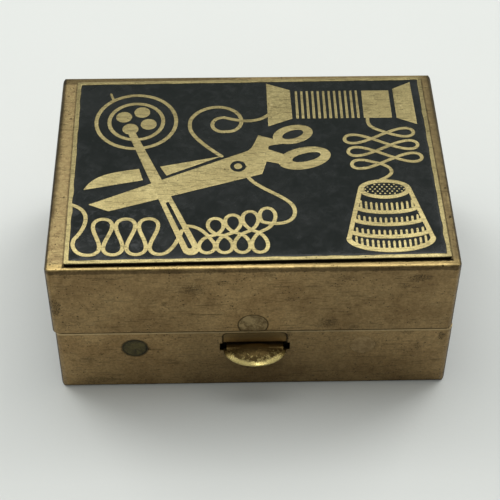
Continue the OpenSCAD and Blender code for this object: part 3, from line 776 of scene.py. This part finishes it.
def threads():
    """Every even line of the design: (path, width)."""
    button = (-17.45, 9.95)
    lines = [(arc(button, r, r, 0, 360, 90), THREAD) for r in (4.05, 6)]
    lines.append(([Vector((-21.5, 16.3)), Vector((-21, 14.8))], SHORT_LINE))
    # Curl from the spool to the far blade
    curl = []
    for degrees in range(70, 556, 6):
        a = math.radians(degrees)
        radius = 1.6 + 3.4 * max(0, min(1, (degrees - 285) / 240))
        curl.append(Vector((-4.4, 9.05)) + radius * Vector((math.cos(a), math.sin(a))))
    lines.append((bezier((2.5, 11.2), (0.8, 9.4), (-1.4, 9.6), curl[0]) + curl[1:]
                  + bezier(curl[-1], (-9, 6.6), (-7.4, 4.6), (-4.7, 2.1))[1:], THREAD))
    # Meander from the border to the needle's eye
    folds = wave((-24.7, -14.1), 3.22, 0.9, 3.45, 0, 1, 185, 1265)
    lines.append((bezier((-26.1, -7.7), (-22.8, -9), (-23.9, -12.4), (-25.2, -14.3))
                  + bezier((-25.2, -14.3), (-25.9, -15.3), (-25.2, -17.9), folds[0])[1:] + folds[1:]
                  + bezier(folds[-1], (-12.4, -17.6), (-11.2, -16.2), on_needle(0.86))[1:], THREAD))
    # Braid from the needle to the scissors
    loops = wave((-8.1, -14.4), 2.45, -1.4, 3, 0.65, 1.8, 120, 1500)
    entry = bezier(on_needle(0.83) + Vector((0.7, 0.2)), (-7.8, -12.1), (-6.9, -13.9), loops[0])
    lines.append((entry + loops[1:], BRAID))
    lines.append((bezier(loops[-1], (1.8, -12), (5.6, -12.6), (5.6, -9.4))
                  + bezier((5.6, -9.4), (5.6, -6.6), (0.4, -5.2), (-0.9, -2.3))[1:], THREAD))
    # Hank between the spool and the thimble
    hank = [on_hank(a) for a in range(0, 360 * HANK_TURNS - 24, 5)]
    lines.append((bezier((17.5, 10.4), (17.3, 8.9), (17.6, 8.3), hank[0], 14) + hank[1:]
                  + bezier(hank[-1], (20.6, -0.5), (20.9, -2.0), (18.3, -3.3), 14)[1:], HANK))
    # Thimble
    top, low, top_rx, low_rx = Vector(THIMBLE_TOP), Vector((18.75, -15)), 3.55, 5.85
    for side in (-1, 1):
        upper = top + Vector((side * top_rx, -0.1))
        lines.append(([upper, low + Vector((side * low_rx, 0))], THIMBLE_SIDE))
    lines.append((arc(low, low_rx, 2.3, 180, 360, 40), THIMBLE_RIM))
    for band in range(4):
        share = 0.355 + 0.245 * band
        if band < 3:
            centre, rx, ry = lerp(top, low, share), top_rx + (low_rx - top_rx) * share, 1.25
            lines.append((arc(centre, rx, ry, 184, 356, 28), THIMBLE_BAND))
        else:
            centre, rx, ry = low, low_rx - 0.1, 2.1
        ticks = 11 + band
        for i in range(ticks):
            across = TICK_REACH * (2 * i / (ticks - 1) - 1)
            foot = centre + Vector((rx * across, -ry * math.sqrt(1 - across * across)))
            lines.append(([foot, foot + Vector((0, TICK_HEIGHTS[band]))], TICK))
    return lines


def polygon(*corners):
    """Filled shape with straight sides and no holes."""
    return list(map(Vector, corners)), []


def solids():
    """Every filled shape of the design: (outline, holes)."""
    button = Vector((-17.45, 10.15))
    shapes = []
    for i in range(4):
        a = math.radians(66 + 90 * i)
        centre = button + 2.05 * Vector((math.cos(a), math.sin(a)))
        shapes.append((ellipse(centre, 1.2, 1.2, 0, 40), []))
    # Needle with its long eye
    along = (Vector(NEEDLE_END) - Vector(NEEDLE_TIP)).normalized()
    side = Vector((-along.y, along.x))
    turn = math.degrees(math.atan2(along.y, along.x))
    shank = [on_needle(0) + side * 0.55, on_needle(0) - side * 0.55]
    shank += arc(NEEDLE_END, 1.2, 1.2, -90, 90, 20, turn)
    eye = arc(on_needle(0.985), 0.3, 0.3, -90, 90, 8, turn)
    eye += arc(on_needle(0.64), 0.24, 0.24, 90, 270, 8, turn)
    shapes.append((shank, [eye]))
    # Scissors
    pivot = (-2.3, -0.1)
    near = [(-23.7, -7.7), (-20.8, -9.1), (1.2, -1.8), (1.9, 0.8), (2.3, 4.2), (2.9, 5.8)]
    near = list(map(Vector, near)) + bezier((0.8, 6.6), (0.2, 4.9), (-0.2, 3.5), (-1, 3.1), 10)
    shapes.append((near, [ellipse(pivot, 1.15, 1.15, 0, 40)]))
    shapes.append((ellipse(pivot, 0.6, 0.6, 0, 32), []))
    far = bezier((-24.6, -4.7), (-23.4, -1.6), (-20.8, -1.1), (-16.7, -0.4))
    shapes.append((far + [Vector((-16.1, -2.8))], []))
    shapes.append(polygon((-13.7, 0), (-4.6, 2.1), (-12.7, -1.9)))
    shapes.append((ellipse((6, 6.7), 3.1, 2, 18), [ellipse((6, 6.7), 1.7, 0.85, 24, 48)]))
    shapes.append((ellipse((7.5, 1.5), 4, 2.3, 16), [ellipse((7.8, 1.7), 2.2, 0.85, 18, 48)]))
    shapes.append(polygon((1.9, 6), (4, 5.6), (4.7, 5.15), (4.75, 4.75), (2.1, 4.2)))
    shapes.append(polygon((1.8, 0.9), (2, 3.6), (4.6, 2.3), (4.6, 0.1)))
    # Spool
    low, high = 10.25, 16.6
    shapes.append(polygon((2.35, 18.5), (6, 16.85), (6.1, 10.25), (2.4, 8.55)))
    bars = [(6.7 + SPOOL_PITCH * i, 6.7 + SPOOL_PITCH * i + SPOOL_BAR) for i in range(12)]
    for left, right in bars + [(16.95, 21.2)]:
        shapes.append(polygon((left, low), (right, low), (right, high), (left, high)))
    shapes.append(polygon((21.8, 16.95), (24.7, 18.55), (24.85, 8.7), (21.9, 10.2)))
    # Thimble's top with its dimples in staggered rows
    top = Vector(THIMBLE_TOP)
    shapes.append((ellipse(top, 3.85, 2), [ellipse(top, 3, 1.3, 0, 48)]))
    for row in range(-2, 3):
        for i in range(-4, 5):
            spot = Vector((0.7 * (i + 0.5 * (row % 2)), 0.46 * row))
            if (spot.x / 2.8) ** 2 + (spot.y / 1.15) ** 2 < 1:
                shapes.append((ellipse(top + spot, DIMPLE_R, DIMPLE_R, 0, 12), []))
    return shapes


def ridge(path, width, lowered):
    """Raised line with a flat crown and round ends; it falls a hair so crossings stay apart."""
    half = width / 2
    closed = (path[0] - path[-1]).length < 1e-6
    if closed:
        path = path[:-1]
    count = len(path)
    stations = []
    for i, point in enumerate(path):
        before = path[i - 1] if closed or i else path[0]
        after = path[(i + 1) % count] if closed or i < count - 1 else path[-1]
        along = (after - before).normalized()
        stations.append((point, along, 1.0))
    if not closed:
        caps = [(math.sin(a), math.cos(a)) for a in (math.radians(d) for d in (88, 70, 45, 20))]
        head, tail = stations[0][1], stations[-1][1]
        start = [(path[0] - head * half * s, head, c) for s, c in caps]
        end = [(path[-1] + tail * half * s, tail, c) for s, c in reversed(caps)]
        stations = start + stations + end
    # Left half of the section: (place across, depth below the crown)
    depth = PLATE_TOP - FIELD_FLOOR
    section = [(-half, depth), (-half, 0.05), (-half + 0.012, 0.018), (-half + 0.04, 0)]
    section += [(-across, below) for across, below in reversed(section)]
    vertices = []
    for i, (point, along, share) in enumerate(stations):
        side = Vector((-along.y, along.x))
        crown = PLATE_TOP - lowered - 0.006 * i / len(stations)
        for across, below in section:
            spot = on_lid(point + side * across * share)
            vertices.append((spot.x, spot.y, crown - below))
    size = len(section)
    rings = len(stations)
    faces = []
    for i in range(rings if closed else rings - 1):
        a, b = i * size, (i + 1) % rings * size
        for k in range(size):
            n = (k + 1) % size
            faces.append((a + k, a + n, b + n, b + k))
    if not closed:
        faces.append(tuple(range(size)))
        faces.append(tuple(reversed(range((rings - 1) * size, rings * size))))
    return vertices, faces


def thread_lines():
    """All even lines of the design as one piece, each a hair lower than the last."""
    vertices, faces = [], []
    for i, (path, width) in enumerate(threads()):
        more, sides = ridge(path, width, 0.001 + 0.0017 * (i % 6))
        first = len(vertices)
        vertices += more
        faces += [tuple(first + k for k in side) for side in sides]
    new_piece("plate_thread_lines", vertices, faces, MATERIALS["design_plate"], "lid",
              "plate_brass")


def filled(outline, holes):
    """Mesh of one flat shape with rounded edges, from a filled and bevelled outline."""
    edge = 0.05
    curve = bpy.data.curves.new("outline", "CURVE")
    curve.dimensions = "2D"
    curve.fill_mode = "BOTH"
    curve.extrude = ((PLATE_TOP - FIELD_FLOOR) / 2 - edge) * MM
    curve.bevel_depth = edge * MM
    curve.bevel_resolution = 2
    curve.offset = -edge * MM
    for loop in [outline] + holes:
        spline = curve.splines.new("POLY")
        spline.points.add(len(loop) - 1)
        for point, spot in zip(spline.points, loop):
            place = on_lid(spot) * MM
            point.co = (place.x, place.y, 0, 1)
        spline.use_cyclic_u = True
    holder = place_object("outline", curve)
    bpy.context.view_layer.update()
    evaluated = holder.evaluated_get(bpy.context.evaluated_depsgraph_get())
    mesh = bpy.data.meshes.new_from_object(evaluated)
    bpy.data.objects.remove(holder)
    bpy.data.curves.remove(curve)
    return mesh


def solid_shapes():
    """All filled shapes of the design as one piece; crossing ones differ a hair in height."""
    work = bmesh.new()
    for i, (outline, holes) in enumerate(solids()):
        mesh = filled(outline, holes)
        height = (PLATE_TOP + FIELD_FLOOR) / 2 - 0.003 * (i % 4)
        mesh.transform(Matrix.Translation((0, 0, height * MM)))
        work.from_mesh(mesh)
        bpy.data.meshes.remove(mesh)
    made = object_from(work, "plate_figures")
    finish_piece(made, MATERIALS["design_plate"], "lid", "plate_brass")


def rounded_rectangle(half_w, half_d, radius, steps=5, sides=40):
    """Counter-clockwise loop with rounded corners and closely set points on its sides."""
    loop = []
    corners = [(half_w, half_d, 0), (-half_w, half_d, 90),
               (-half_w, -half_d, 180), (half_w, -half_d, 270)]
    for x, y, start in corners:
        centre = Vector((x - math.copysign(radius, x), y - math.copysign(radius, y)))
        loop += arc(centre, radius, radius, start, start + 90, steps)
    full = []
    for i, point in enumerate(loop):
        after = loop[(i + 1) % len(loop)]
        full.append(point)
        if (after - point).length > 5 * radius:
            full += [point.lerp(after, k / sides) for k in range(1, sides)]
    return full


def plate_frame():
    """Plate body: thin floor, bright border with soft edges and a slightly wandering inner edge."""
    half_w, half_d = PLATE_SIZE / 2
    rise = PLATE_TOP - plate_low.z
    # (inset from the outer edge, height above the underside, how far the loop wanders)
    profile = [(0.03, 0, 0), (0, 0.06, 0), (0, rise - 0.12, 0), (0.03, rise - 0.035, 0),
               (0.10, rise, 0), (BORDER - 0.12, rise, 1), (BORDER - 0.05, rise - 0.03, 1),
               (BORDER, rise - 0.10, 1), (BORDER, FIELD_FLOOR - plate_low.z, 1)]
    vertices, faces = [], []
    for inset, height, wander in profile:
        corner_r = max(0.25 - inset * 0.2, 0.08)
        loop = rounded_rectangle(half_w - inset, half_d - inset, corner_r)
        for i, point in enumerate(loop):
            ripple = noise.noise(Vector((point.x * 0.5, point.y * 0.5, 4.0))) * 0.16 * wander
            spot = on_plate(point * (1 - ripple / half_w))
            vertices.append((spot.x, spot.y, plate_low.z + height))
    size = len(vertices) // len(profile)
    for ring in range(len(profile) - 1):
        a, b = ring * size, (ring + 1) * size
        for i in range(size):
            n = (i + 1) % size
            faces.append((a + i, a + n, b + n, b + i))
    faces.append(tuple(reversed(range(size))))
    faces.append(tuple(range((len(profile) - 1) * size, len(profile) * size)))
    new_piece("plate_frame", vertices, faces, MATERIALS["design_plate"], "lid", "plate_brass",
              "design_plate")


def enamel_sheet():
    """The enamel as one rippled sheet that dips to the border; the lines rise through it."""
    half = PLATE_SIZE / 2 - Vector((BORDER, BORDER)) + Vector((0.1, 0.1))
    columns, rows = 130, 94
    floor = FIELD_FLOOR - 0.02
    vertices, faces = [], []
    for j in range(rows + 1):
        for i in range(columns + 1):
            x = half.x * (2 * i / columns - 1)
            y = half.y * (2 * j / rows - 1)
            edge = min(half.x - abs(x), half.y - abs(y))
            dip = 0.05 * math.exp(-edge / 0.35)
            ripple = 0.010 * noise.noise(Vector((x * 0.45, y * 0.45, 1.5)))
            spot = on_plate(Vector((x, y)))
            vertices.append((spot.x, spot.y, ENAMEL_TOP - 0.012 - dip + ripple))
    wide = columns + 1
    for j in range(rows):
        for i in range(columns):
            a = j * wide + i
            faces.append((a, a + 1, a + wide + 1, a + wide))
    rim = list(range(wide)) + [j * wide + columns for j in range(1, rows + 1)]
    rim += [rows * wide + i for i in range(columns - 1, -1, -1)]
    rim += [j * wide for j in range(rows - 1, 0, -1)]
    first = len(vertices)
    vertices += [(vertices[k][0], vertices[k][1], floor) for k in rim]
    for k in range(len(rim)):
        n = (k + 1) % len(rim)
        faces.append((rim[n], rim[k], first + k, first + n))
    faces.append(tuple(range(first + len(rim) - 1, first - 1, -1)))
    new_piece("enamel_sheet", vertices, faces, MATERIALS["enamel_field"], "lid", "black_enamel",
              "enamel_field")


# ---------------- leaf spring

SPRING_EDGE = 0.06
STEM_WINDOW = Vector((4.2, 0.55))


def spring_arm(name, end, side):
    """Half of the leaf spring, fixed at its rivet; the real strip bends inward as the catch is
    pressed, but this mesh does not bend.
    """
    low, high = box_mm("leaf_spring")
    window = CATCH_X + side * STEM_WINDOW.x
    bend_steps, window_steps = 26, 6
    columns = [end + (window - end) * i / bend_steps for i in range(bend_steps + 1)]
    columns += [window + (CATCH_X - window) * i / window_steps for i in range(1, window_steps + 1)]
    levels = (low.z, SLOT_Z - STEM_WINDOW.y, SLOT_Z + STEM_WINDOW.y, high.z)
    work = bmesh.new()
    corners = {(i, j, k): work.verts.new(Vector((x, y, z)) * MM) for i, x in enumerate(columns)
               for j, z in enumerate(levels) for k, y in enumerate((low.y, high.y))}

    def filled_cell(i, j):
        return 0 <= i < len(columns) - 1 and 0 <= j < 3 and (j != 1 or i < bend_steps)

    for i in range(len(columns) - 1):
        for j in range(3):
            if not filled_cell(i, j):
                continue
            loop = [(i, j), (i + 1, j), (i + 1, j + 1), (i, j + 1)]
            for k in (0, 1):
                work.faces.new([corners[a, b, k] for a, b in loop])
            beside = [(i, j - 1), (i + 1, j), (i, j + 1), (i - 1, j)]
            for n, neighbour in enumerate(beside):
                if not filled_cell(*neighbour):
                    (a, b), (c, d) = loop[n], loop[(n + 1) % 4]
                    work.faces.new([corners[a, b, 0], corners[c, d, 0],
                                    corners[c, d, 1], corners[a, b, 1]])
    bmesh.ops.recalc_face_normals(work, faces=work.faces)
    sharp = [edge for edge in work.edges if edge.calc_face_angle() > 1
             and max(abs(v.co.x - CATCH_X * MM) for v in edge.verts) > 1e-6]
    bmesh.ops.bevel(work, geom=sharp, offset=SPRING_EDGE * MM, segments=2, profile=0.5,
                    affect="EDGES")
    made = object_from(work, name)
    finish_piece(made, MATERIALS["leaf_spring"], None, "spring_bronze", "leaf_spring")
    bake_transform(made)


spring_low, spring_high = box_mm("leaf_spring")
spring_arm("spring_left", spring_low.x, -1)
spring_arm("spring_right", spring_high.x, 1)


# ---------------- carried-over nodes

def soften(node, width):
    """Round the edges of a CAD node with modifiers and give it its material."""
    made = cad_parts[node]
    made.data.materials.clear()
    made.data.materials.append(MATERIALS[node])
    made.data.shade_smooth()
    weld = made.modifiers.new("weld", "WELD")
    weld.merge_threshold = 2e-6
    bevel = made.modifiers.new("edges", "BEVEL")
    bevel.width = width * MM
    bevel.segments = 3
    bevel.limit_method = "ANGLE"
    bevel.angle_limit = math.radians(38)
    bevel.use_clamp_overlap = True
    bevel.harden_normals = False
    bevel.miter_outer = "MITER_ARC"
    flat = made.modifiers.new("flats", "WEIGHTED_NORMAL")
    flat.keep_sharp = True


EDGE_WIDTHS = {
    "lid_shell": 0.12, "base_shell": 0.12, "lid_hinge_leaf": 0.08, "base_hinge_leaf": 0.08,
    "lid_hinge_rivets": 0.12, "base_hinge_rivets": 0.12, "hinge_pin": 0.08, "catch_tongue": 0.08,
    "tongue_stud": 0.10, "left_spring_rivet": 0.10, "right_spring_rivet": 0.10,
    "thumb_lip": 0.08, "catch_hook": 0.08,
}
for node_name, edge_width in EDGE_WIDTHS.items():
    soften(node_name, edge_width)

plate_frame()
enamel_sheet()
thread_lines()
solid_shapes()


# ---------------- stage, light and camera

def stage_floor():
    """Pale floor that curves up far behind the box."""
    s = Surface("floor_paper")
    tone = s.noise(0.02, 2, 0.5)
    s.set("Base Color", s.blend((0.66, 0.68, 0.655), (0.70, 0.715, 0.69), tone))
    s.set("Roughness", 0.9)
    s.bumps((s.noise(1.2, 3, 0.6), 0.02))
    reach, rise, bend = 1.4, 0.9, 0.35
    profile = [(-reach, 0), (reach - bend, 0)]
    profile += [(reach - bend + bend * math.sin(a), bend * (1 - math.cos(a)))
                for a in (math.radians(6 * i) for i in range(1, 16))]
    profile.append((reach, rise))
    vertices = [(x, y, z) for y, z in profile for x in (-reach * 1.5, reach * 1.5)]
    faces = [(2 * i, 2 * i + 1, 2 * i + 3, 2 * i + 2) for i in range(len(profile) - 1)]
    mesh = bpy.data.meshes.new("floor")
    mesh.from_pydata(vertices, [], faces)
    mesh.materials.append(s.material)
    mesh.shade_smooth()
    place_object("floor", mesh)


def soft_light(name, place, size, power):
    """White rectangular light, aimed at the middle of the box."""
    lamp = bpy.data.lights.new(name, "AREA")
    lamp.shape = "RECTANGLE"
    lamp.size, lamp.size_y = size
    lamp.energy = power
    holder = place_object(name, lamp)
    holder.location = place
    aim = Vector((0, 0, 0.015)) - Vector(place)
    holder.rotation_euler = aim.to_track_quat("-Z", "Y").to_euler()


def world_light(strength):
    world = bpy.data.worlds.new("studio")
    world.use_nodes = True
    background = world.node_tree.nodes["Background"]
    background.inputs["Color"].default_value = (0.97, 1.0, 0.975, 1)
    background.inputs["Strength"].default_value = strength
    bpy.context.scene.world = world


def camera():
    """Seen from the front and above, 47 degrees down, a little left of the middle."""
    sensor, view_half_angle = 36.0, math.radians(10.04)
    data = bpy.data.cameras.new("camera")
    data.sensor_width = sensor
    data.lens = sensor / 2 / math.tan(view_half_angle)
    data.dof.use_dof = False
    data.clip_start, data.clip_end = 0.01, 20
    holder = place_object("camera", data)
    place = Vector((-4.41, -151.15, 167.7)) * MM
    swing, tilt, roll = [math.radians(degrees) for degrees in (-1.70, 43.36, 0.51)]
    turn = (Matrix.Rotation(swing, 4, "Z") @ Matrix.Rotation(tilt, 4, "X")
            @ Matrix.Rotation(roll, 4, "Z"))
    holder.matrix_world = Matrix.Translation(place) @ turn
    bpy.context.scene.camera = holder


stage_floor()
world_light(0.36)
soft_light("overhead", (0.0, 0.14, 0.55), size=(0.7, 0.34), power=2.1)
for side in (-1, 1):
    soft_light("back_side", (0.45 * side, 0.42, 0.55), size=(0.4, 0.4), power=1.6)
soft_light("front_glint", (0.12, -0.50, 0.72), size=(0.25, 0.15), power=0.25)
camera()
scene = bpy.context.scene
scene.view_settings.view_transform = "Standard"
scene.view_settings.look = "None"
